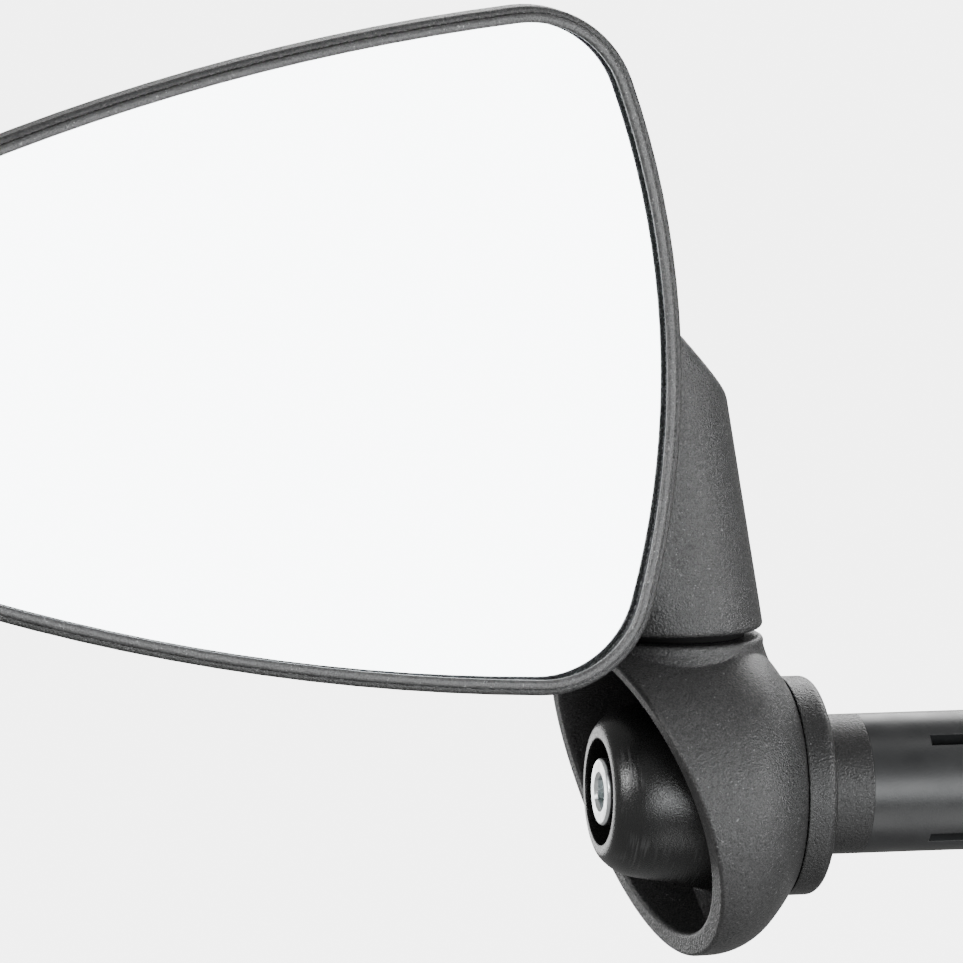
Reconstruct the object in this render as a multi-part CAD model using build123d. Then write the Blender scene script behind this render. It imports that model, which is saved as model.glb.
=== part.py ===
from build123d import *
import math
import os

# Bar-end bicycle mirror, millimetres, +Z up.
# Origin: centre of the face that seats on the handlebar's end. +X runs into the bar, the mirror faces -Y.

# Plug that grips the inside of the handlebar
PLUG_R = 8.8
SPIGOT_R = 4.5
BOSS_END_X = 6.0
SLEEVE_END_X = 34.0
SLEEVE_TAPER_START_X = 20.0
SLEEVE_TAPER_START_R = 4.0
TAPER_SLOPE = math.tan(math.radians(12))
SLEEVE_SLOT_START_X = 14.0
SLEEVE_SLOT_WIDTH = 1.6
SLEEVE_SLOTS = 4
O_RING_XS = (26.5, 31.0)
O_RING_R = 8.12
O_RING_WIRE_R = 0.6
O_RING_GROOVE_R = 7.5
O_RING_GROOVE_WIDTH = 1.5
CONE_START_X = 22.0
CONE_END_X = 42.0
CONE_CLEARANCE = 0.1
FIN_WIDTH = 1.2
CONE_TAIL_R = 7.3

# M5 fasteners
SCREW_R = 2.5
SCREW_HOLE_R = 2.75
THREAD_CLEARANCE = 0.05
SOCKET_HEAD_R = 4.25
SOCKET_HEAD_HEIGHT = 5.0
SOCKET_FLATS = 4.0
SCREW_LENGTH = 70.0
NUT_FLATS = 8.0
NUT_HEIGHT = 4.0
NUT_FACE_R = 3.9
NUT_CORNER_R = 4.7
NUT_CHAMFER = 0.45
COLLAR_R = 3.9
INSERT_R = 3.4

# Ball joint: the cup's round back is held between the flange and the hub
BALL_X = -26.2
CUP_OUTER_R = 26.0
CUP_INNER_R = 23.0
WASHER_THICKNESS = 0.7
BALL_GAP = 0.1
FLANGE_R = 13.75
FLANGE_LIP_R = 13.05
CUP_HOLE_R = 8.4
TILT_DEG = 6.0

# Hub with the recessed clamp screw
HUB_FRONT_X = -27.3
HUB_RECESS_R = 6.7
HUB_RECESS_DEPTH = 6.0
HUB_BACK_R = 13.9
HEAD_WASHER_THICKNESS = 1.0
HEAD_WASHER_R = 5.0

# Cup and neck
BARREL_R = 20.9
BARREL_X = -14.0
CUP_BORE_R = 18.0
CUP_MOUTH_X = -35.0
NECK_R = 11.4
NECK_TOP_Z = 19.7
NECK_ROOT_Z = 9.0
NECK_FILLET = 0.6
FLARE_TOP_Z = 18.6
OPENING_SKEW = 0.155
OPENING_FILLET = 0.5

# Fold pivot
FOLD_X = -18.1
ARM_BOTTOM_Z = 20.7
ARM_FLOOR_Z = 25.7
ARM_POCKET_TOP_Z = 42.5
ARM_POCKET_R = 6.5
POST_R = 4.3
POST_TOP_Z = 34.0
STUD_ROOT_Z = 21.5
STUD_KNURL_R = 3.1
STUD_KNURL_TOP_Z = 31.0
STUD_TOP_Z = 41.5
BUSH_R = 5.4
BUSH_FLANGE_R = 6.2
BUSH_FLANGE_THICKNESS = 0.6
RUNNING_CLEARANCE = 0.05
SPRING_R = 5.45
SPRING_WIRE_R = 0.65
SPRING_TURNS = 3.5
CAP_THICKNESS = 1.2
CAP_R = 5.9
INSERT_HEIGHT = 1.2
GLIDE_R = 9.0
GLIDE_THICKNESS = 0.8

# Arm, from a round section at the seam to a flattened one behind the mirror
ARM_HEAD_X = -35.9
ARM_HEAD_Y = -1.0
ARM_HEAD_Z = 72.0
ARM_HEAD_WIDTH = 39.8
ARM_HEAD_DEPTH = 20.0
ARM_SIDE_FILLET = 2.2
ARM_BACK_FILLET = 0.3
ARM_BASE_FILLET = 0.7

# Mirror head
RIM_FRONT_Y = -20.0
SHELL_FRONT_Y = -19.3
SHELL_BAND_BACK_Y = -15.8
SHELL_RIM_WIDTH = 0.8
SHELL_WALL = 1.8
SHELL_DRAFT_DEG = 25.0
SHELL_BACK_Y = -6.0
SHELL_BACK_FILLET = 3.0
SHELL_RIM_FILLET = 0.55
BEZEL_FILLET = 0.45
BACK_DOME_R = 420.0
HEAD_CENTRE_X = -82.0
HEAD_CENTRE_Z = 57.0
BEZEL_LIP_INSET = 2.0
BEZEL_LIP_THICKNESS = 0.7
BEZEL_WALL = 0.55
BEZEL_GAP = 0.05
BEZEL_BACK_Y = -16.4
GLASS_R = 1600.0
GLASS_FRONT_Y = -19.2
GLASS_THICKNESS = 2.0
PAD_INSET = 6.0
PAD_THICKNESS = 1.0
RIB_THICKNESS = 1.2
RIB_DEPTH = 16.0
RIB_Y = -12.0
RIB_XS = (-48, -82, -116)
RIB_ZS = (42, 72)
WINDOW_Z = 37.5
WINDOW_HEIGHT = 9.0


def cylinder_x(radius, start, end):
    """Cylinder on the bar's axis."""
    return Pos((start + end) / 2, 0, 0) * Rot(0, 90, 0) * Cylinder(radius, end - start)


def cylinder_z(radius, bottom, top):
    """Cylinder on the fold axis."""
    return Pos(FOLD_X, 0, (bottom + top) / 2) * Cylinder(radius, top - bottom)


def ball(radius):
    """Sphere about the centre of the ball joint."""
    return Pos(BALL_X, 0, 0) * Sphere(radius)


def ball_x(radius, off_axis):
    """X of the ball joint's sphere at a distance from the bar's axis."""
    return BALL_X + math.sqrt(radius**2 - off_axis**2)


def turned(edges):
    """Solid of revolution about the bar's axis from a closed profile of (x, radius)."""
    return revolve(make_face(edges), Axis.X)


def upright(*edges):
    """Face in the XZ plane from a closed profile of (x, z)."""
    return make_face([Plane.XZ * edge for edge in edges])


def hexagon_x(flats, start, end):
    """Hexagonal prism on the bar's axis, with two corners up and down."""
    profile = Plane.YZ.offset(start) * RegularPolygon(flats / math.sqrt(3), 6, rotation=90)
    return extrude(profile, end - start)


# ---- Plug in the handlebar ----


def seat_flange():
    """Ring that rests on the bar's end, with a ball seat in front and a boss in the bar behind."""
    ring = cylinder_x(FLANGE_R, -5, 0)
    ring = fillet(ring.edges().group_by(Axis.X)[-1], 1.2)
    boss = cylinder_x(PLUG_R, 0, BOSS_END_X)
    seat = ball(CUP_OUTER_R + WASHER_THICKNESS + 2 * BALL_GAP) & cylinder_x(FLANGE_LIP_R, -10, 10)
    lip = ball(CUP_OUTER_R + 1.5 * BALL_GAP)
    socket = keyed_spigot(RUNNING_CLEARANCE, BOSS_END_X - 1)
    bore = cylinder_x(SCREW_HOLE_R, -5, BOSS_END_X)
    return ring + boss - seat - lip - socket - bore


def keyed_spigot(clearance, end):
    """End of the hub's spigot with two flats, or its socket when a clearance is added."""
    flats = Box(2 * BOSS_END_X, 2 * (SPIGOT_R - 0.9 + clearance), 3 * SPIGOT_R)
    return cylinder_x(SPIGOT_R + clearance, 0, end) & flats


def expander_sleeve():
    """Split sleeve that the cone spreads against the bar's bore."""
    sleeve = cylinder_x(PLUG_R, BOSS_END_X, SLEEVE_END_X)
    sleeve = chamfer(sleeve.edges().group_by(Axis.X)[-1], 0.4)
    sleeve -= cylinder_x(SLEEVE_TAPER_START_R, BOSS_END_X + 3, SLEEVE_TAPER_START_X)
    sleeve -= cylinder_x(SCREW_HOLE_R, BOSS_END_X, BOSS_END_X + 3)
    sleeve -= taper(0, SLEEVE_TAPER_START_X, SLEEVE_END_X)
    for x in O_RING_XS:
        start = x - O_RING_GROOVE_WIDTH / 2
        end = x + O_RING_GROOVE_WIDTH / 2
        sleeve -= cylinder_x(PLUG_R + 1, start, end) - cylinder_x(O_RING_GROOVE_R, start, end)
    slot_length = SLEEVE_END_X - SLEEVE_SLOT_START_X
    slot = Pos(SLEEVE_SLOT_START_X + slot_length / 2, 0, PLUG_R / 2 + 1)
    slot *= Box(slot_length, SLEEVE_SLOT_WIDTH, PLUG_R + 2)
    for i in range(SLEEVE_SLOTS):
        sleeve -= Rot(i * 360 / SLEEVE_SLOTS + 45, 0, 0) * slot
    return sleeve


def taper(clearance, start, end):
    """Piece of the 12 degree cone that the sleeve and the expander share."""
    r_start = SLEEVE_TAPER_START_R + (start - SLEEVE_TAPER_START_X) * TAPER_SLOPE - clearance
    r_end = SLEEVE_TAPER_START_R + (end - SLEEVE_TAPER_START_X) * TAPER_SLOPE - clearance
    return turned(Polyline((start, 0), (start, r_start), (end, r_end), (end, 0), close=True))


def sleeve_o_rings():
    """Two rubber rings that hold the sleeve's fingers together."""
    ring = Rot(0, 90, 0) * Torus(O_RING_R, O_RING_WIRE_R)
    return Compound(children=[Pos(x, 0, 0) * ring for x in O_RING_XS])


def expander_cone():
    """Cone drawn into the sleeve, with fins that ride in the sleeve's slots."""
    cone = taper(CONE_CLEARANCE, CONE_START_X, SLEEVE_END_X + 2)
    cone += cylinder_x(CONE_TAIL_R, SLEEVE_END_X + 2, CONE_END_X)
    fin = Pos((CONE_START_X + 3 + CONE_END_X) / 2, 0, CONE_TAIL_R / 2)
    fin *= Box(CONE_END_X - CONE_START_X - 3, FIN_WIDTH, CONE_TAIL_R)
    for i in range(SLEEVE_SLOTS):
        cone += Rot(i * 360 / SLEEVE_SLOTS + 45, 0, 0) * fin
    cone -= cylinder_x(SCREW_HOLE_R, CONE_START_X, CONE_END_X)
    cone -= hexagon_x(NUT_FLATS + 2 * RUNNING_CLEARANCE, CONE_END_X - NUT_HEIGHT, CONE_END_X)
    return cone


def hex_nut():
    """M5 nut on the bar's axis with its near face at the origin."""
    nut = hexagon_x(NUT_FLATS, 0, NUT_HEIGHT)
    near = Polyline((0, 0), (0, NUT_FACE_R), (NUT_CHAMFER, NUT_CORNER_R))
    far = Polyline((NUT_HEIGHT - NUT_CHAMFER, NUT_CORNER_R), (NUT_HEIGHT, NUT_FACE_R), (NUT_HEIGHT, 0))
    envelope = turned([near, Line(near @ 1, far @ 0), far, Line(far @ 1, near @ 0)])
    return (nut & envelope) - cylinder_x(SCREW_R + THREAD_CLEARANCE, 0, NUT_HEIGHT)


def cone_nut():
    """Nut held in the cone's hexagonal pocket."""
    return Pos(CONE_END_X - NUT_HEIGHT, 0, 0) * hex_nut()


def clamp_screw():
    """M5 socket screw on the bar's axis."""
    head = cylinder_x(SOCKET_HEAD_R, HUB_FRONT_X, HUB_FRONT_X + SOCKET_HEAD_HEIGHT)
    head = fillet(head.edges().group_by(Axis.X)[0], 0.45)
    shank_start = HUB_FRONT_X + SOCKET_HEAD_HEIGHT
    shank = cylinder_x(SCREW_R, shank_start, shank_start + SCREW_LENGTH)
    shank = chamfer(shank.edges().group_by(Axis.X)[-1], 0.6)
    socket = hexagon_x(SOCKET_FLATS, HUB_FRONT_X, HUB_FRONT_X + 3)
    socket += Pos(HUB_FRONT_X + 3.5, 0, 0) * Rot(0, 90, 0) * Cone(SOCKET_FLATS / 2, 0.3, 1.0)
    countersink = Pos(HUB_FRONT_X + 0.2, 0, 0) * Rot(0, 90, 0) * Cone(2.5, 2.1, 0.4)
    return head + shank - socket - countersink


def head_washer():
    """Plain washer under the clamp screw's head."""
    start = HUB_FRONT_X + SOCKET_HEAD_HEIGHT
    washer = cylinder_x(HEAD_WASHER_R, start, start + HEAD_WASHER_THICKNESS)
    return washer - cylinder_x(SCREW_R + 0.1, start, start + HEAD_WASHER_THICKNESS)


# ---- Ball joint ----


def clamp_hub():
    """Domed hub inside the cup, with a recess for the screw head and a keyed spigot."""
    back_r = CUP_INNER_R - WASHER_THICKNESS - 2 * BALL_GAP
    back = (ball_x(back_r, HUB_BACK_R), HUB_BACK_R)
    lip = (HUB_FRONT_X, HUB_RECESS_R + 0.5)
    crown_end = (-24.2, 10.5)
    flank_end = (back[0] - 0.6, back[1])
    crown = Spline(lip, (-26.3, 9.2), crown_end, tangents=((0, 1), (1, 0.35)))
    flank = Spline(crown_end, (-19.7, 11.4), (-13.3, 12.9), flank_end, tangents=((1, 0.35), (1, 0.15)))
    edge = Line(flank_end, back)
    middle = math.radians(15)
    bulge = (BALL_X + back_r * math.cos(middle), back_r * math.sin(middle))
    rear = ThreePointArc(back, bulge, (BALL_X + back_r, 0))
    axis = Line(rear @ 1, (HUB_FRONT_X, 0))
    front = Line(axis @ 1, lip)
    hub = turned([crown, flank, edge, rear, axis, front])
    hub += cylinder_x(SPIGOT_R, -8, 0)
    hub += keyed_spigot(0, BOSS_END_X - 1.2)
    hub -= cylinder_x(HUB_RECESS_R, HUB_FRONT_X, HUB_FRONT_X + HUB_RECESS_DEPTH)
    return hub - cylinder_x(SCREW_HOLE_R, HUB_FRONT_X, BOSS_END_X)


def outer_friction_washer():
    """Dished washer between the flange and the cup's back."""
    inner = CUP_OUTER_R + BALL_GAP
    dish = ball(inner + WASHER_THICKNESS) - ball(inner)
    dish &= cylinder_x(FLANGE_LIP_R - 0.1, -6, 3)
    return dish - cylinder_x(SPIGOT_R + 0.1, -6, 3)


def inner_friction_washer():
    """Dished washer between the hub and the cup, its hole slotted for one of the tilts."""
    inner = CUP_INNER_R - WASHER_THICKNESS - BALL_GAP
    dish = ball(inner + WASHER_THICKNESS) - ball(inner)
    dish &= cylinder_x(12.6, -12, 0)
    travel = 2 * CUP_INNER_R * math.tan(math.radians(TILT_DEG))
    slot = Plane.YZ.offset(-12) * SlotCenterToCenter(travel, 2 * SPIGOT_R + 0.3, rotation=90)
    return dish - extrude(slot, 12)


def cup_skin():
    """Outside of the cup: a ball at the back that runs into a gently narrowing barrel."""
    shoulder = (BALL_X + 18.76, 18.0)
    middle = math.radians(21)
    on_ball = (BALL_X + CUP_OUTER_R * math.cos(middle), CUP_OUTER_R * math.sin(middle))
    back = ThreePointArc((BALL_X + CUP_OUTER_R, 0), on_ball, shoulder)
    bend = TangentArc(back @ 1, (BARREL_X, BARREL_R), tangent=back % 1)
    barrel = TangentArc(bend @ 1, (CUP_MOUTH_X, 19.0), tangent=bend % 1)
    mouth = Polyline(barrel @ 1, (CUP_MOUTH_X, 0), (BALL_X + CUP_OUTER_R, 0))
    return turned([back, bend, barrel, mouth])


def cup_bore():
    """Inside of the cup: the ball seat and the bore in front of it."""
    bore = cylinder_x(CUP_BORE_R, CUP_MOUTH_X - 1, BALL_X + 14)
    return bore + (ball(CUP_INNER_R) & cylinder_x(CUP_BORE_R, BALL_X, 0))


def neck():
    """Stub under the fold's seam, flaring where it meets the ball."""
    flare = ThreePointArc((NECK_R, FLARE_TOP_Z), (NECK_R + 0.7, 16.6), (NECK_R + 2.8, 13.2))
    side = Polyline((0, NECK_ROOT_Z), (0, NECK_TOP_Z), (NECK_R, NECK_TOP_Z), flare @ 0)
    under = Polyline(flare @ 1, (NECK_ROOT_Z, NECK_ROOT_Z), (0, NECK_ROOT_Z))
    stub = revolve(upright(side, flare, under), Axis.Z)
    return Pos(FOLD_X, 0, 0) * fillet(stub.edges().group_by(Axis.Z)[-1], NECK_FILLET)


def opening_curve():
    """Arc of the cup's slanting opening, seen from the front."""
    return ThreePointArc((-15.9, -24), (-22.5, 0), (-32.8, 24))


def opening_cut():
    """Slanting, curved cut that opens the cup towards the bar's outer end."""
    curve = opening_curve()
    outside = Polyline(curve @ 1, (-60, 24), (-60, -24), curve @ 0)
    return extrude(upright(curve, outside), 40, dir=(-OPENING_SKEW, 1, 0), both=True)


def rims_opening(edge):
    """Whether an edge lies on the cup's opening."""
    arc = opening_curve()
    for place in (0.1, 0.5, 0.9):
        point = edge @ place
        along = point.X + OPENING_SKEW * point.Y - arc.arc_center.X
        if abs(math.hypot(along, point.Z - arc.arc_center.Y) - arc.radius) > 0.01:
            return False
    return True


def pivot_housing():
    """Open cup with the ball-shaped back, the neck and the fold pivot's post."""
    cup = cup_skin() - cup_bore() - opening_cut()
    cup = fillet(cup.edges().filter_by(rims_opening), OPENING_FILLET)
    body = cup + (neck() - cup_bore() - opening_cut())
    body = split(body, Plane.XY.offset(NECK_TOP_Z), keep=Keep.BOTTOM)
    body -= cylinder_x(CUP_HOLE_R, -10, 5)
    body += cylinder_z(POST_R, NECK_TOP_Z - 1, POST_TOP_Z)
    return body - fold_stud()


# ---- Fold pivot ----


def fold_stud():
    """Stud moulded into the post, knurled below and threaded above."""
    root = cylinder_z(STUD_KNURL_R, STUD_ROOT_Z, STUD_KNURL_TOP_Z)
    root -= cylinder_z(STUD_KNURL_R + 1, 25.5, 26.5) - cylinder_z(SCREW_R, 25.5, 26.5)
    thread = cylinder_z(SCREW_R, STUD_KNURL_TOP_Z, STUD_TOP_Z)
    thread = chamfer(thread.edges().group_by(Axis.Z)[-1], 0.5)
    return root + thread


def glide_washer():
    """Low-friction washer in the seam between the neck and the arm."""
    bottom = NECK_TOP_Z + RUNNING_CLEARANCE
    washer = cylinder_z(GLIDE_R, bottom, bottom + GLIDE_THICKNESS)
    return washer - cylinder_z(POST_R + 0.1, bottom, bottom + GLIDE_THICKNESS)


def pivot_bush():
    """Flanged bush in the arm's floor that turns on the post."""
    bush = cylinder_z(BUSH_R, ARM_BOTTOM_Z + 0.1, ARM_FLOOR_Z)
    bush += cylinder_z(BUSH_FLANGE_R, ARM_FLOOR_Z, ARM_FLOOR_Z + BUSH_FLANGE_THICKNESS)
    return bush - cylinder_z(POST_R + RUNNING_CLEARANCE, ARM_BOTTOM_Z, ARM_FLOOR_Z + 1)


def fold_spring():
    """Compression spring that presses the arm down on the neck."""
    bottom = ARM_FLOOR_Z + BUSH_FLANGE_THICKNESS + SPRING_WIRE_R + 0.05
    height = POST_TOP_Z - SPRING_WIRE_R - 0.1 - bottom
    path = Helix(pitch=height / SPRING_TURNS, height=height, radius=SPRING_R)
    wire = Plane(origin=path @ 0, z_dir=path % 0) * Circle(SPRING_WIRE_R)
    return Pos(FOLD_X, 0, bottom) * sweep(wire, path, is_frenet=True)


def spring_cap():
    """Washer that holds the spring down on top of the post."""
    cap = cylinder_z(CAP_R, POST_TOP_Z, POST_TOP_Z + CAP_THICKNESS)
    cap = fillet(cap.edges().group_by(Axis.Z)[-1], 0.3)
    return cap - cylinder_z(SCREW_R + 0.1, POST_TOP_Z, POST_TOP_Z + CAP_THICKNESS)


def lock_nut():
    """Hexagonal nut with a collar for its nylon ring."""
    bottom = POST_TOP_Z + CAP_THICKNESS
    nut = Pos(FOLD_X, 0, bottom) * Rot(0, -90, 0) * hex_nut()
    top = bottom + NUT_HEIGHT
    collar = cylinder_z(COLLAR_R, top, top + INSERT_HEIGHT)
    return nut + collar - cylinder_z(INSERT_R, top, top + INSERT_HEIGHT)


def lock_nut_insert():
    """Nylon ring that stops the nut from turning loose."""
    bottom = POST_TOP_Z + CAP_THICKNESS + NUT_HEIGHT
    ring = cylinder_z(INSERT_R, bottom, bottom + INSERT_HEIGHT - 0.2)
    return ring - cylinder_z(SCREW_R + THREAD_CLEARANCE, bottom, bottom + INSERT_HEIGHT)


# ---- Mirror head ----


def head_plane(y):
    """Plane across the head, with its x axis towards the outer end and its normal towards the back."""
    return Plane(origin=(0, y, 0), x_dir=(-1, 0, 0), z_dir=(0, 1, 0))


def side_disc(start, middle, end, inset):
    """Disc whose edge is one side of the head, shrunk by an inset."""
    arc = ThreePointArc(start, middle, end)
    return Pos(arc.arc_center) * Circle(arc.radius - inset)


def head_outline(inset):
    """Rounded triangle of four gentle arcs, on the plane of the head, shrunk by an inset."""
    top_right = (33.5, 100.9)
    bottom_right = (29.2, 15.2)
    bottom_left = (143.5, 40.0)
    top_left = (143.5, 69.0)
    outline = side_disc(top_right, (22.6, 57.0), bottom_right, inset)
    outline &= side_disc(bottom_right, (70.5, 18.2), bottom_left, inset)
    outline &= side_disc(bottom_left, (144.5, 54.5), top_left, inset)
    outline &= side_disc(top_left, (71.0, 95.5), top_right, inset)
    for corner, radius in ((top_right, 14), (bottom_right, 14), (bottom_left, 13), (top_left, 13)):
        outline = fillet(outline.vertices().sort_by_distance(corner)[0], radius - inset)
    return outline


def head_slab(inset, front_y, back_y):
    """Straight-sided slab with the head's outline."""
    return extrude(head_plane(front_y) * head_outline(inset), back_y - front_y)


def dome(radius, back_y):
    """Large ball whose rearmost point is on the head's centre line at back_y."""
    return Pos(HEAD_CENTRE_X, back_y - radius, HEAD_CENTRE_Z) * Sphere(radius)


def glass_curve(depth):
    """Ball whose surface lies at a depth behind the front of the convex glass."""
    return Pos(HEAD_CENTRE_X, GLASS_FRONT_Y + GLASS_R, HEAD_CENTRE_Z) * Sphere(GLASS_R - depth)


def curved_layer(inset, front_depth, back_depth):
    """Layer that follows the glass's curve between two depths."""
    slab = head_slab(inset, GLASS_FRONT_Y - 1, GLASS_FRONT_Y + back_depth + 3)
    return (slab & glass_curve(front_depth)) - glass_curve(back_depth)


def shell_back(inset, front_y):
    """Tapering, domed back of the shell, shrunk by an inset."""
    tapered = extrude(head_plane(front_y) * head_outline(inset), 14, taper=SHELL_DRAFT_DEG)
    back = tapered & dome(BACK_DOME_R - inset, SHELL_BACK_Y - inset)
    crease = [edge for edge in back.edges() if edge.length > 8 and (edge @ 0.5).Y > front_y + 1]
    return fillet(crease, SHELL_BACK_FILLET - inset / 2)


def arm():
    """Arm that rises from the fold's seam behind the mirror, cut off by two slanting faces."""
    seam = Plane.XY.offset(ARM_BOTTOM_Z) * Pos(FOLD_X, 0)
    seam *= RectangleRounded(2 * NECK_R, 2 * NECK_R, NECK_R - 0.01)
    head = Plane.XY.offset(ARM_HEAD_Z) * Pos(ARM_HEAD_X, ARM_HEAD_Y)
    head *= RectangleRounded(ARM_HEAD_WIDTH, ARM_HEAD_DEPTH, ARM_HEAD_DEPTH / 2 - 0.1)
    body = loft([seam, head], ruled=True)
    side_cut = Plane(origin=(-14.8, 0, 52.8), z_dir=(1.065, 0, 1))
    back_cut = Plane(origin=(FOLD_X, 10, 39), z_dir=(0, 0.868, 0.496))
    for plane, radius in ((side_cut, ARM_SIDE_FILLET), (back_cut, ARM_BACK_FILLET)):
        body = split(body, plane, keep=Keep.BOTTOM)
        cut_edges = [edge for edge in body.edges() if on_plane(edge, plane)]
        body = fillet(cut_edges, radius)
    return fillet(body.edges().group_by(Axis.Z)[0], ARM_BASE_FILLET)


def on_plane(edge, plane):
    """Whether an edge lies in a plane."""
    return all(abs(plane.to_local_coords(edge @ place).Z) < 0.01 for place in (0, 0.5, 1))


def ribs():
    """Grid of ribs that carries the pad behind the glass."""
    grid = []
    for x in RIB_XS:
        grid.append(Pos(x, RIB_Y, HEAD_CENTRE_Z) * Box(RIB_THICKNESS, RIB_DEPTH, 100))
    for z in RIB_ZS:
        grid.append(Pos(HEAD_CENTRE_X, RIB_Y, z) * Box(130, RIB_DEPTH, RIB_THICKNESS))
    behind_pad = glass_curve(GLASS_THICKNESS + PAD_THICKNESS + RUNNING_CLEARANCE)
    return [rib & behind_pad for rib in grid]


def mirror_shell():
    """Back shell and arm in one moulding."""
    shell = head_slab(0, SHELL_FRONT_Y, SHELL_BAND_BACK_Y)
    shell = fillet(shell.edges().group_by(Axis.Y)[0], SHELL_RIM_FILLET)
    shell += shell_back(0, SHELL_BAND_BACK_Y)
    shell += arm()
    cavity = shell_back(SHELL_WALL, SHELL_BAND_BACK_Y)
    shell -= cavity
    for rib in ribs():
        shell += rib & cavity
    shell -= head_slab(SHELL_RIM_WIDTH, SHELL_FRONT_Y - 1, SHELL_BAND_BACK_Y)
    shell -= cylinder_z(ARM_POCKET_R, ARM_FLOOR_Z, ARM_POCKET_TOP_Z)
    shell -= cylinder_z(BUSH_R + 0.02, ARM_BOTTOM_Z - 1, ARM_FLOOR_Z)
    return shell - spanner_window()


def spanner_window():
    """Stepped passage from behind the glass to the lock nut in the arm."""
    inner = Pos(-25.5, -4, WINDOW_Z) * Box(15, 8, WINDOW_HEIGHT)
    return inner + Pos(-30.75, -9, WINDOW_Z) * Box(4.5, 8, WINDOW_HEIGHT)


def bezel():
    """Trim ring that holds the glass's edge in the shell."""
    outer = SHELL_RIM_WIDTH + BEZEL_GAP
    ring = head_slab(outer, RIM_FRONT_Y, BEZEL_BACK_Y)
    ring -= head_slab(BEZEL_LIP_INSET, RIM_FRONT_Y - 1, BEZEL_BACK_Y + 1)
    lip_back = RIM_FRONT_Y + BEZEL_LIP_THICKNESS
    ring -= head_slab(outer + BEZEL_WALL, lip_back, BEZEL_BACK_Y + 1)
    return fillet(ring.edges().group_by(Axis.Y)[0], BEZEL_FILLET)


def mirror_glass():
    """Slightly convex glass."""
    return curved_layer(SHELL_RIM_WIDTH + BEZEL_WALL + 3 * BEZEL_GAP, 0, GLASS_THICKNESS)


def adhesive_pad():
    """Foam pad that bonds the glass to the ribs."""
    return curved_layer(PAD_INSET, GLASS_THICKNESS, GLASS_THICKNESS + PAD_THICKNESS)


NODES = (
    seat_flange,
    expander_sleeve,
    sleeve_o_rings,
    expander_cone,
    cone_nut,
    clamp_screw,
    head_washer,
    clamp_hub,
    outer_friction_washer,
    inner_friction_washer,
    pivot_housing,
    fold_stud,
    glide_washer,
    pivot_bush,
    fold_spring,
    spring_cap,
    lock_nut,
    lock_nut_insert,
    mirror_shell,
    bezel,
    mirror_glass,
    adhesive_pad,
)

os.makedirs("parts", exist_ok=True)
for node in NODES:
    export_step(node(), f"parts/{node.__name__}.step")
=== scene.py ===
import math

import bpy
from mathutils import Matrix, Vector


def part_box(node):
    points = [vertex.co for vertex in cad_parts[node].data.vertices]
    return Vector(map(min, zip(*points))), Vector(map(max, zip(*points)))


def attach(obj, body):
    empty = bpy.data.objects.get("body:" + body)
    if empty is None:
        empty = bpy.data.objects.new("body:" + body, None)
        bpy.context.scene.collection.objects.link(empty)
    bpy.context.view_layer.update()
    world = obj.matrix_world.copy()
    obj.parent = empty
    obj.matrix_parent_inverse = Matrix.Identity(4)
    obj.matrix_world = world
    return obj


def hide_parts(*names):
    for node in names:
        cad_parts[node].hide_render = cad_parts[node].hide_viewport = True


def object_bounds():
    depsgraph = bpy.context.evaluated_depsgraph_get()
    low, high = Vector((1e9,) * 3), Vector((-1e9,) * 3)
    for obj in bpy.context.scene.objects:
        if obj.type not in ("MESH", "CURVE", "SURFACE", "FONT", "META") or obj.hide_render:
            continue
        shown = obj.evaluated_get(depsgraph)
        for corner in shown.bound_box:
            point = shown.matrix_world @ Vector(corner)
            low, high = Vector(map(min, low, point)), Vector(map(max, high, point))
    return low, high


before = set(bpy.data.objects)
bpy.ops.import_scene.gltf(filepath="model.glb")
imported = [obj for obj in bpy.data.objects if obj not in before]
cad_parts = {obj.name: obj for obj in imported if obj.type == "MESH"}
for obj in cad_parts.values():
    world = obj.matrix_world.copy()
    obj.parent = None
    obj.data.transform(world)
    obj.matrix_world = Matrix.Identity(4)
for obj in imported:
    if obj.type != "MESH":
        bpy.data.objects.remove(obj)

MM = 0.001
CAD_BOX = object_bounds()


# ---- Camera: a long lens, to the left of the mirror's face and a little above it ----

AZIMUTH = math.radians(-14.6)
ELEVATION = math.radians(7.5)
ROLL = math.radians(-0.5)
CAMERA_DISTANCE = 1.2
LENS = 357.5
SENSOR_WIDTH = 36
# The point that the camera looks at, to the right of and above the flange's centre as the camera sees it
AIM_RIGHT = -41.1 * MM
AIM_UP = 38.05 * MM


def camera_axes():
    """Right, up and back directions of the camera."""
    back = Vector(
        (
            math.sin(AZIMUTH) * math.cos(ELEVATION),
            -math.cos(AZIMUTH) * math.cos(ELEVATION),
            math.sin(ELEVATION),
        )
    )
    right = Vector((math.cos(AZIMUTH), math.sin(AZIMUTH), 0))
    up = back.cross(right)
    rolled_right = math.cos(ROLL) * right - math.sin(ROLL) * up
    rolled_up = math.sin(ROLL) * right + math.cos(ROLL) * up
    return rolled_right, rolled_up, back


def add_camera():
    """Camera aimed at the inner part of the mirror, which it crops at the outer end."""
    right, up, back = camera_axes()
    data = bpy.data.cameras.new("camera")
    data.lens = LENS
    data.sensor_width = SENSOR_WIDTH
    camera = bpy.data.objects.new("camera", data)
    bpy.context.scene.collection.objects.link(camera)
    location = right * AIM_RIGHT + up * AIM_UP + back * CAMERA_DISTANCE
    camera.matrix_world = Matrix.Translation(location) @ Matrix((right, up, back)).transposed().to_4x4()
    bpy.context.scene.camera = camera


# ---- Stage and lights ----

FLOOR_HALF = 16.0
FLOOR_DROP = 0.6
FLOOR_GLOW = 5.0
SURROUNDINGS = 0.33

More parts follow.
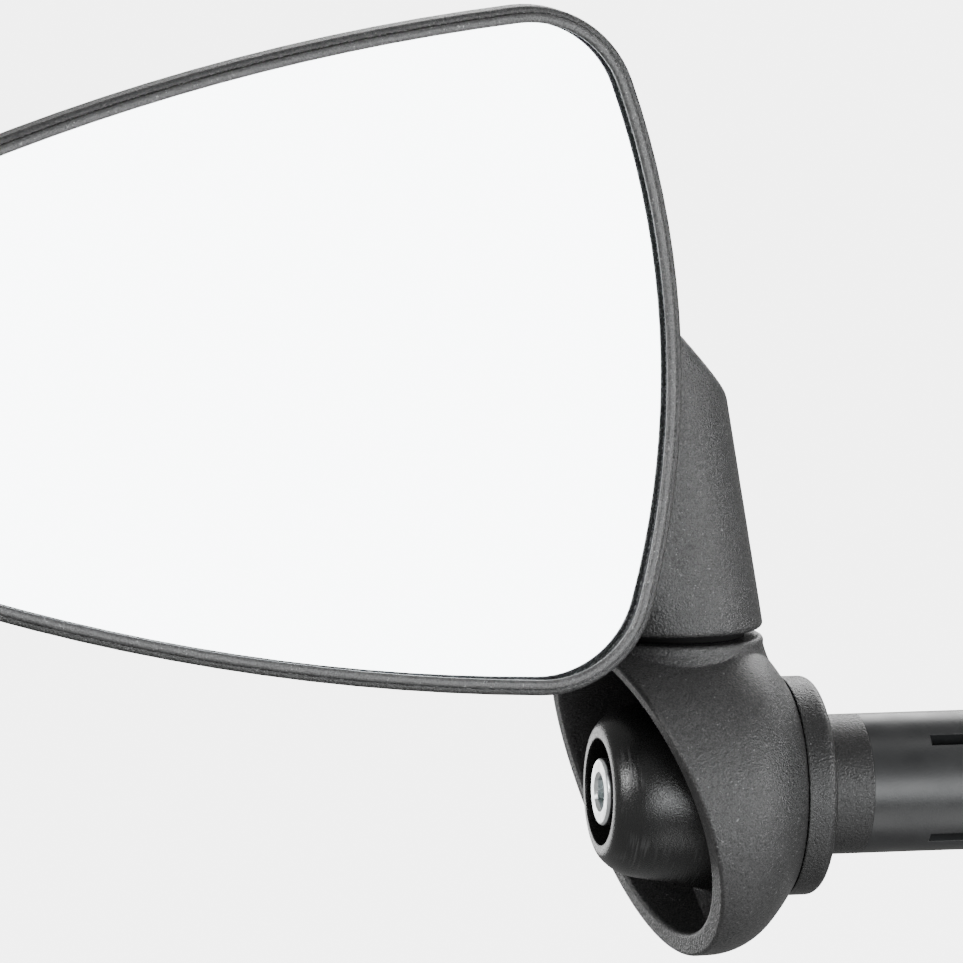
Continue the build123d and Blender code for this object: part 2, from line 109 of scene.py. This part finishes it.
# The card that the mirror reflects: azimuth and elevation in degrees, metres, radiance and a cool white
CARD_AZIMUTH = 14.6
CARD_ELEVATION = -4
CARD_DISTANCE = 2.0
CARD_WIDTH = 1.5
CARD_HEIGHT = 1.0
CARD_RADIANCE = 9.0
CARD_COLOUR = (0.97, 0.99, 1.0)

# The point that the softboxes face
CUP_CENTRE = Vector((-20, 0, 0)) * MM

# Softboxes: name, azimuth and elevation in degrees, distance, width and height in metres, radiance
SOFTBOXES = (
    ("right_softbox", 62, 8, 1.5, 0.45, 0.35, 36.0),
    ("left_softbox", -74, 20, 1.5, 0.4, 0.5, 38.0),
    ("top_softbox", 25, 70, 1.6, 0.7, 0.5, 3.0),
    ("low_softbox", 40, -50, 1.4, 1.1, 0.8, 2.6),
    ("back_softbox", 150, 30, 1.8, 1.3, 1.0, 6.0),
    ("screw_softbox", -165, -7, 1.5, 0.5, 0.5, 4.0),
)


def add_floor():
    """Plain pale floor well below the part, which hangs from the handlebar."""
    level = CAD_BOX[0].z - FLOOR_DROP
    corners = [(x * FLOOR_HALF, y * FLOOR_HALF, level) for x, y in ((-1, -1), (1, -1), (1, 1), (-1, 1))]
    mesh = bpy.data.meshes.new("floor")
    mesh.from_pydata(corners, [], [(0, 1, 2, 3)])
    floor = bpy.data.objects.new("floor", mesh)
    bpy.context.scene.collection.objects.link(floor)
    floor.data.materials.append(floor_material())
    floor.visible_glossy = False
    floor.visible_diffuse = False


def floor_material():
    """Evenly lit white for the stage."""
    material = bpy.data.materials.new("floor")
    material.use_nodes = True
    shader = material.node_tree.nodes["Principled BSDF"]
    shader.inputs["Base Color"].default_value = (0.8, 0.8, 0.8, 1)
    shader.inputs["Roughness"].default_value = 0.8
    shader.inputs["Emission Color"].default_value = (1, 1, 1, 1)
    shader.inputs["Emission Strength"].default_value = FLOOR_GLOW
    return material


def softbox(name, location, target, width, height, radiance, colour=(1, 1, 1)):
    """Rectangular soft light that faces a target and isn't seen by the camera."""
    data = bpy.data.lights.new(name, "AREA")
    data.shape = "RECTANGLE"
    data.size = width
    data.size_y = height
    data.energy = radiance * width * height * math.pi
    data.color = colour
    light = bpy.data.objects.new(name, data)
    light.location = location
    light.rotation_mode = "QUATERNION"
    light.rotation_quaternion = (target - location).to_track_quat("-Z", "Y")
    light.visible_camera = False
    bpy.context.scene.collection.objects.link(light)


def direction(azimuth, elevation):
    """Unit vector at an azimuth from the mirror's face, to the right, and an elevation, in degrees."""
    turn = math.radians(azimuth)
    lift = math.radians(elevation)
    return Vector((math.sin(turn) * math.cos(lift), -math.cos(turn) * math.cos(lift), math.sin(lift)))


def add_lights():
    """White surroundings, the card that the mirror reflects, and softboxes on every side of the cup."""
    world = bpy.data.worlds.new("world")
    world.use_nodes = True
    background = world.node_tree.nodes["Background"]
    background.inputs["Color"].default_value = (1, 1, 1, 1)
    background.inputs["Strength"].default_value = SURROUNDINGS
    bpy.context.scene.world = world
    low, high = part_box("mirror_glass")
    mirror = (Vector(low) + Vector(high)) / 2
    card = mirror + CARD_DISTANCE * direction(CARD_AZIMUTH, CARD_ELEVATION)
    softbox("front_card", card, mirror, CARD_WIDTH, CARD_HEIGHT, CARD_RADIANCE, CARD_COLOUR)
    for name, azimuth, elevation, distance, width, height, radiance in SOFTBOXES:
        location = CUP_CENTRE + distance * direction(azimuth, elevation)
        softbox(name, location, CUP_CENTRE, width, height, radiance)


# ---- Node helpers ----

# The range that most of a noise texture's values lie in
NOISE_LOW = 0.3
NOISE_HIGH = 0.7

# The cosine between the rounded and the true normal, on an open face and at a sharp edge
FLAT_COSINE = 0.995
EDGE_COSINE = 0.8


class Nodes:
    """Short way to build one material's nodes."""

    def __init__(self, name):
        self.material = bpy.data.materials.new(name)
        self.material.use_nodes = True
        self.tree = self.material.node_tree
        self.shader = self.tree.nodes["Principled BSDF"]
        self.place = self.add("ShaderNodeTexCoord").outputs["Object"]

    def add(self, kind, **settings):
        node = self.tree.nodes.new(kind)
        for key, value in settings.items():
            setattr(node, key, value)
        return node

    def link(self, source, target):
        self.tree.links.new(source, target)

    def noise(self, scale, detail=2.0, roughness=0.5, vector=None, distortion=0.0):
        node = self.add("ShaderNodeTexNoise")
        node.inputs["Scale"].default_value = scale
        node.inputs["Detail"].default_value = detail
        node.inputs["Roughness"].default_value = roughness
        node.inputs["Distortion"].default_value = distortion
        self.link(vector or self.place, node.inputs["Vector"])
        return node.outputs["Fac"]

    def cells(self, scale):
        node = self.add("ShaderNodeTexVoronoi", feature="F1")
        node.inputs["Scale"].default_value = scale
        self.link(self.place, node.inputs["Vector"])
        return node.outputs["Distance"]

    def math(self, operation, first, second=None):
        node = self.add("ShaderNodeMath", operation=operation)
        for index, value in enumerate((first, second)):
            if value is None:
                continue
            if isinstance(value, (int, float)):
                node.inputs[index].default_value = value
            else:
                self.link(value, node.inputs[index])
        return node.outputs[0]

    def remap(self, source, low, high, to_low, to_high):
        node = self.add("ShaderNodeMapRange")
        self.link(source, node.inputs["Value"])
        for key, value in zip(("From Min", "From Max", "To Min", "To Max"), (low, high, to_low, to_high)):
            node.inputs[key].default_value = value
        return node.outputs["Result"]

    def ramp(self, source, low, high):
        """0 at low and 1 at high, and no further either way."""
        return self.remap(source, low, high, 0.0, 1.0)

    def vary(self, noise, first, second):
        """Spreads a noise's usual range from one value to another."""
        return self.remap(noise, NOISE_LOW, NOISE_HIGH, first, second)

    def mix(self, factor, first, second):
        node = self.add("ShaderNodeMix", data_type="RGBA")
        self.link(factor, node.inputs["Factor"])
        for index, value in ((6, first), (7, second)):
            if isinstance(value, tuple):
                node.inputs[index].default_value = (*value, 1)
            else:
                self.link(value, node.inputs[index])
        return node.outputs[2]

    def bump(self, height, distance, normal=None):
        node = self.add("ShaderNodeBump")
        node.inputs["Strength"].default_value = 1.0
        node.inputs["Distance"].default_value = distance
        self.link(height, node.inputs["Height"])
        if normal is not None:
            self.link(normal, node.inputs["Normal"])
        return node.outputs["Normal"]

    def rounded_edges(self, radius):
        node = self.add("ShaderNodeBevel", samples=6)
        node.inputs["Radius"].default_value = radius
        return node.outputs["Normal"]

    def edge_mask(self, radius):
        """1 at convex and concave edges, 0 on open faces."""
        soft = self.rounded_edges(radius)
        hard = self.add("ShaderNodeNewGeometry").outputs["Normal"]
        dot = self.add("ShaderNodeVectorMath", operation="DOT_PRODUCT")
        self.link(soft, dot.inputs[0])
        self.link(hard, dot.inputs[1])
        return self.ramp(dot.outputs["Value"], FLAT_COSINE, EDGE_COSINE)

    def finish(self, colour, roughness, normal=None, plain=()):
        """The material, with its textures linked and its plain inputs set by name."""
        self.link(colour, self.shader.inputs["Base Color"])
        self.link(roughness, self.shader.inputs["Roughness"])
        if normal is not None:
            self.link(normal, self.shader.inputs["Normal"])
        for key, value in plain:
            self.shader.inputs[key].default_value = value
        return self.material


# ---- Materials ----

# Scales of the textures, in cells per metre
GRAIN = 4300.0
PITS = 0.6 * GRAIN
SPECKS = 0.75 * GRAIN
HANDLING_CLOUD = 60.0
SPARKLE_PATCHES = 420.0
HUB_SCUFFS = 4200.0
HUB_PATCHES = 150.0
DRAWN_LINES = 900.0
METAL_STAIN = 240.0
PLASTIC_SKIN = 5200.0
PLASTIC_CLOUD = 180.0
GLASS_SMEAR = 38.0
GLASS_DUST = 2600.0
FOAM_CELLS = 2200.0
RUBBER_DUST = 900.0

# The hub's scuffs are long arcs: this is how many cells there are in a radian round the bar's axis
SCUFF_CELLS = 2.6
# How much the drawn lines are stretched along the bar's axis
LINE_STRETCH = (0.15, 1, 1)

# Radii that edges are shaded with
MOULDED_EDGE = 0.3 * MM
PLASTIC_EDGE = 0.15 * MM
METAL_EDGE = 0.12 * MM
# Width of the brighter edges painted on metal as a highlight
METAL_HIGHLIGHT_EDGE = 0.15 * MM

# Depths of the textures
HUB_DEPTH = 0.035 * MM
METAL_DEPTH = 0.006 * MM
PLASTIC_DEPTH = 0.01 * MM
FOAM_DEPTH = 0.1 * MM
RUBBER_DEPTH = 0.02 * MM


def grey(value):
    """Neutral colour."""
    return (value, value, value)


def moulded_plastic(name, dark, light, sparkle, edge_highlight, depth, specular):
    """Black moulding with a coarse spark-eroded grain, pale specks painted on as sparkle highlights, and
    edges painted paler as a highlight.
    """
    n = Nodes(name)
    grain = n.noise(GRAIN, roughness=0.6)
    pits = n.cells(PITS)
    specks = n.noise(SPECKS, detail=1.0)
    cloud = n.noise(HANDLING_CLOUD, detail=4.0)
    patches = n.noise(SPARKLE_PATCHES, detail=4.0, roughness=0.65)
    base = n.mix(n.ramp(grain, 0.36, 0.66), dark, light)
    # Pale specks painted into the colour as sparkle highlights on the grain
    sparkle_spots = n.math("MULTIPLY", n.ramp(specks, 0.66, 0.76), n.ramp(patches, 0.4, 0.62))
    sparkled = n.mix(sparkle_spots, base, sparkle)
    # Edges painted paler as an edge highlight
    edge_highlight_mask = n.math("MULTIPLY", n.edge_mask(MOULDED_EDGE), n.ramp(specks, 0.48, 0.62))
    roughness = n.math("ADD", n.vary(grain, 0.44, 0.24), n.vary(cloud, -0.04, 0.06))
    height = n.math("SUBTRACT", grain, n.math("MULTIPLY", pits, 0.3))
    normal = n.bump(height, depth, n.rounded_edges(MOULDED_EDGE))
    return n.finish(n.mix(edge_highlight_mask, sparkled, edge_highlight), roughness, normal, [("Specular IOR Level", specular)])


def satin_hub():
    """Smoother black moulding with fine scuffs that run round the bar's axis."""
    n = Nodes("hub_satin")
    split = n.add("ShaderNodeSeparateXYZ")
    n.link(n.place, split.inputs[0])
    x, y, z = split.outputs
    radius = n.math("SQRT", n.math("ADD", n.math("MULTIPLY", y, y), n.math("MULTIPLY", z, z)))
    polar = n.add("ShaderNodeCombineXYZ")
    n.link(n.math("MULTIPLY", radius, HUB_SCUFFS), polar.inputs[0])
    n.link(n.math("MULTIPLY", n.math("ARCTAN2", y, z), SCUFF_CELLS), polar.inputs[1])
    n.link(n.math("MULTIPLY", x, HUB_SCUFFS), polar.inputs[2])
    arcs = n.noise(1.0, detail=1.0, vector=polar.outputs[0], distortion=0.3)
    patches = n.noise(HUB_PATCHES, detail=3.0)
    scuffs = n.math("MULTIPLY", n.ramp(arcs, 0.5, 0.68), n.ramp(patches, 0.5, 0.64))
    grain = n.noise(GRAIN, roughness=0.6)
    colour = n.mix(scuffs, grey(0.01), grey(0.034))
    roughness = n.math("ADD", n.vary(grain, 0.34, 0.22), n.math("MULTIPLY", scuffs, 0.1))
    height = n.math("ADD", grain, n.math("MULTIPLY", scuffs, 0.25))
    normal = n.bump(height, HUB_DEPTH, n.rounded_edges(MOULDED_EDGE))
    return n.finish(colour, roughness, normal, [("Specular IOR Level", 0.5)])


def metal(name, colour, tint, roughness):
    """Plated steel with faint drawing marks, stains and edges painted brighter as a highlight."""
    n = Nodes(name)
    stretched = n.add("ShaderNodeMapping")
    stretched.inputs["Scale"].default_value = LINE_STRETCH
    n.link(n.place, stretched.inputs["Vector"])
    lines = n.noise(DRAWN_LINES, detail=4.0, vector=stretched.outputs[0])
    stain = n.noise(METAL_STAIN, detail=4.0)
    base = n.mix(n.ramp(stain, 0.35, 0.65), colour, tint)
    # Edges painted brighter as a highlight
    bright = tuple(min(1.0, channel * 1.2) for channel in colour)
    edge_highlight = n.mix(n.edge_mask(METAL_HIGHLIGHT_EDGE), base, bright)
    gloss = n.vary(lines, roughness - 0.06, roughness + 0.1)
    normal = n.bump(lines, METAL_DEPTH, n.rounded_edges(METAL_EDGE))
    return n.finish(edge_highlight, gloss, normal, [("Metallic", 1.0)])


def smooth_plastic(name, colour, roughness, specular=0.4):
    """Plain moulded plastic with a fine skin and slight mottling."""
    n = Nodes(name)
    skin = n.noise(PLASTIC_SKIN)
    cloud = n.noise(PLASTIC_CLOUD, detail=4.0)
    pale = tuple(channel * 1.25 for channel in colour)
    mottled = n.mix(n.ramp(cloud, NOISE_LOW, NOISE_HIGH), colour, pale)
    gloss = n.vary(cloud, roughness - 0.05, roughness + 0.08)
    normal = n.bump(skin, PLASTIC_DEPTH, n.rounded_edges(PLASTIC_EDGE))
    return n.finish(mottled, gloss, normal, [("Specular IOR Level", specular)])


def silvered_glass():
    """Silvered glass, faintly cyan, with barely visible smears."""
    n = Nodes("silvered_glass")
    smear = n.noise(GLASS_SMEAR, detail=5.0, roughness=0.6, distortion=0.6)
    specks = n.noise(GLASS_DUST, detail=1.0)
    dust = n.remap(specks, 0.79, 0.83, 0.0, 0.25)
    colour = n.mix(dust, (0.955, 0.985, 1.0), (0.75, 0.76, 0.77))
    roughness = n.remap(smear, 0.4, 0.75, 0.008, 0.035)
    plain = [("Metallic", 1.0), ("Coat Weight", 1.0), ("Coat Roughness", 0.01)]
    return n.finish(colour, roughness, plain=plain)


def foam():
    """Open foam with small cells."""
    n = Nodes("foam")
    cells = n.cells(FOAM_CELLS)
    colour = n.mix(cells, grey(0.05), grey(0.14))
    roughness = n.remap(cells, 0.0, 1.0, 0.8, 0.95)
    return n.finish(colour, roughness, n.bump(cells, FOAM_DEPTH))


def rubber():
    """Matt black rubber with a bloom of dust."""
    n = Nodes("rubber")
    dust = n.noise(RUBBER_DUST, detail=5.0)
    colour = n.mix(n.ramp(dust, 0.45, 0.7), grey(0.012), grey(0.04))
    return n.finish(colour, n.vary(dust, 0.55, 0.75), n.bump(dust, RUBBER_DEPTH))


# ---- Clamp screw with its knurled head, hexagonal socket and thread ----

SCREW_STEPS = 96
SMOOTH_ANGLE = math.radians(32)
SOCKET_FLATS = 4.0 * MM
SOCKET_DEPTH = 3.0 * MM
DRILL_POINT_DEPTH = 1.0 * MM
DRILL_POINT_R = 0.3 * MM
COUNTERSINK = 0.5 * MM
COUNTERSINK_DEPTH = 0.35 * MM
HEAD_HEIGHT = 5.0 * MM
HEAD_FILLET = 0.45 * MM
HEAD_FILLET_STEPS = 6
HEAD_CHAMFER = 0.15 * MM
KNURL_MARGIN = 0.15 * MM
KNURL_DEPTH = 0.1 * MM
KNURL_TEETH = 48
SHANK_R = 2.5 * MM
THREAD_PITCH = 0.8 * MM
THREAD_DEPTH = 0.42 * MM
THREAD_LENGTH = 30.0 * MM
THREAD_RUNOUT = 0.4 * MM
THREAD_ROWS = 10
# Part of the pitch from the thread's root to its crest
THREAD_FLANK = 0.42
TIP_CHAMFER = 0.7 * MM


def hexagon_radius(angle):
    """Radius of the socket's hexagon at an angle from its upper corner."""
    sixth = math.pi / 3
    from_flat = (angle % sixth) - sixth / 2
    return SOCKET_FLATS / 2 / math.cos(from_flat)


def thread_radius(x, angle):
    """Radius of a rolled thread with flat crests."""
    phase = (x / THREAD_PITCH + angle / (2 * math.pi)) % 1.0
    valley = max(0.0, 1.0 - abs(phase - 0.5) / THREAD_FLANK)
    return SHANK_R - THREAD_DEPTH * valley


def plain_ring(radius):
    """Round ring of the screw."""
    return lambda angle: radius


def knurled_ring(radius):
    """Ring with the knurl's teeth."""
    return lambda angle: radius - KNURL_DEPTH * (0.5 - 0.5 * math.cos(KNURL_TEETH * angle))


def thread_ring(x, largest):
    """Ring of the thread, no wider than the tip's chamfer leaves it."""
    return lambda angle: min(thread_radius(x, angle), largest)


def head_rings(start, head_radius):
    """Rings of the socket and head, each as (x, radius as a function of angle)."""
    bottom = start + SOCKET_DEPTH
    knurl_root = head_radius - KNURL_DEPTH
    rings = [
        (bottom + DRILL_POINT_DEPTH, plain_ring(DRILL_POINT_R)),
        (bottom, hexagon_radius),
        (start + COUNTERSINK_DEPTH, hexagon_radius),
        (start, plain_ring(SOCKET_FLATS / 2 + COUNTERSINK)),
    ]
    for step in range(HEAD_FILLET_STEPS + 1):
        turn = math.radians(90 * step / HEAD_FILLET_STEPS)
        x = start + HEAD_FILLET * (1 - math.cos(turn))
        rings.append((x, plain_ring(head_radius - HEAD_FILLET * (1 - math.sin(turn)))))
    end = start + HEAD_HEIGHT
    rings.append((start + HEAD_FILLET + KNURL_MARGIN, knurled_ring(head_radius)))
    rings.append((end - HEAD_CHAMFER - KNURL_MARGIN, knurled_ring(head_radius)))
    rings.append((end - HEAD_CHAMFER, plain_ring(knurl_root)))
    rings.append((end, plain_ring(knurl_root - HEAD_CHAMFER)))
    rings.append((end, plain_ring(SHANK_R)))
    return rings


def thread_rings(end):
    """Rings of the shank's end and the thread, each as (x, radius as a function of angle)."""
    start = end - THREAD_LENGTH
    rings = [(start - THREAD_RUNOUT, plain_ring(SHANK_R))]
    rows = round(THREAD_LENGTH / THREAD_PITCH * THREAD_ROWS)
    for row in range(rows + 1):
        x = start + THREAD_LENGTH * row / rows
        rings.append((x, thread_ring(x, SHANK_R + min(0.0, end - x - TIP_CHAMFER))))
    return rings


def ring_faces(count):
    """Quads between rings of SCREW_STEPS points, and a cap at each end."""
    faces = []
    for ring in range(count - 1):
        for step in range(SCREW_STEPS):
            here = ring * SCREW_STEPS + step
            beside = ring * SCREW_STEPS + (step + 1) % SCREW_STEPS
            faces.append((here, beside, beside + SCREW_STEPS, here + SCREW_STEPS))
    last = (count - 1) * SCREW_STEPS
    faces.append(tuple(reversed(range(SCREW_STEPS))))
    faces.append(tuple(range(last, last + SCREW_STEPS)))
    return faces


def add_clamp_screw(material):
    """Socket screw on the bar's axis, in place of the plain one."""
    low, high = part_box("clamp_screw")
    rings = head_rings(low[0], (high[1] - low[1]) / 2) + thread_rings(high[0])
    vertices = []
    for x, radius in rings:
        for step in range(SCREW_STEPS):
            angle = 2 * math.pi * step / SCREW_STEPS
            vertices.append((x, radius(angle) * math.sin(angle), radius(angle) * math.cos(angle)))
    mesh = bpy.data.meshes.new("socket_screw")
    mesh.from_pydata(vertices, [], ring_faces(len(rings)))
    mesh.polygons.foreach_set("use_smooth", [True] * len(mesh.polygons))
    mesh.set_sharp_from_angle(angle=SMOOTH_ANGLE)
    mesh.materials.append(material)
    screw = bpy.data.objects.new("socket_screw", mesh)
    bpy.context.scene.collection.objects.link(screw)
    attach(screw, "clamp_screw_body")
    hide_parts("clamp_screw")


# ---- Finishes of the CAD nodes ----


def moulded_body():
    """Grained black of the head and the cup."""
    return moulded_plastic(
        "moulded_black",
        dark=grey(0.006),
        light=grey(0.036),
        # The pale specks are painted sparkle highlights, and the pale edges a painted edge highlight
        sparkle=grey(0.14),
        edge_highlight=grey(0.2),
        depth=0.14 * MM,
        specular=0.5,
    )


def moulded_flange():
    """Darker grain of the flange, with fewer pale specks painted on as sparkle highlights."""
    return moulded_plastic(
        "flange_black",
        dark=grey(0.004),
        light=grey(0.016),
        # The pale specks are painted sparkle highlights, and the pale edges a painted edge highlight
        sparkle=grey(0.05),
        edge_highlight=grey(0.05),
        depth=0.12 * MM,
        specular=0.45,
    )


def moulded_rim():
    """Grain of the band round the glass, painted paler than the head's as the sheen of grazing reflection."""
    return moulded_plastic(
        "bezel_black",
        # Painted paler than the head as the sheen of grazing reflection; the pale specks and edges are
        # painted highlights
        dark=grey(0.02),
        light=grey(0.075),
        sparkle=grey(0.25),
        edge_highlight=grey(0.35),
        depth=0.1 * MM,
        specular=0.65,
    )


def paint_frame():
    """Gives every CAD node a finished material, and the clamp screw its own mesh."""
    zinc = metal("zinc_steel", (0.93, 0.95, 0.95), (0.82, 0.87, 0.88), 0.3)
    finishes = {
        moulded_body(): ("mirror_shell", "pivot_housing"),
        moulded_flange(): ("seat_flange",),
        moulded_rim(): ("bezel",),
        satin_hub(): ("clamp_hub",),
        zinc: ("clamp_screw", "head_washer", "cone_nut", "fold_stud", "spring_cap", "lock_nut"),
        metal("spring_steel", (0.4, 0.4, 0.42), (0.28, 0.28, 0.3), 0.32): ("fold_spring",),
        smooth_plastic("black_acetal", grey(0.013), 0.35): ("outer_friction_washer", "inner_friction_washer"),
        smooth_plastic("glide_acetal", grey(0.003), 0.8, 0.1): ("glide_washer",),
        smooth_plastic("black_nylon", (0.016, 0.0165, 0.017), 0.34): ("expander_sleeve",),
        smooth_plastic("grey_nylon", (0.05, 0.05, 0.052), 0.5): ("expander_cone",),
        smooth_plastic("natural_nylon", (0.62, 0.6, 0.53), 0.45): ("pivot_bush", "lock_nut_insert"),
        rubber(): ("sleeve_o_rings",),
        foam(): ("adhesive_pad",),
        silvered_glass(): ("mirror_glass",),
    }
    for material, nodes in finishes.items():
        for node in nodes:
            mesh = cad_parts[node].data
            mesh.materials.clear()
            mesh.materials.append(material)
    add_clamp_screw(zinc)


add_camera()
add_floor()
add_lights()
paint_frame()
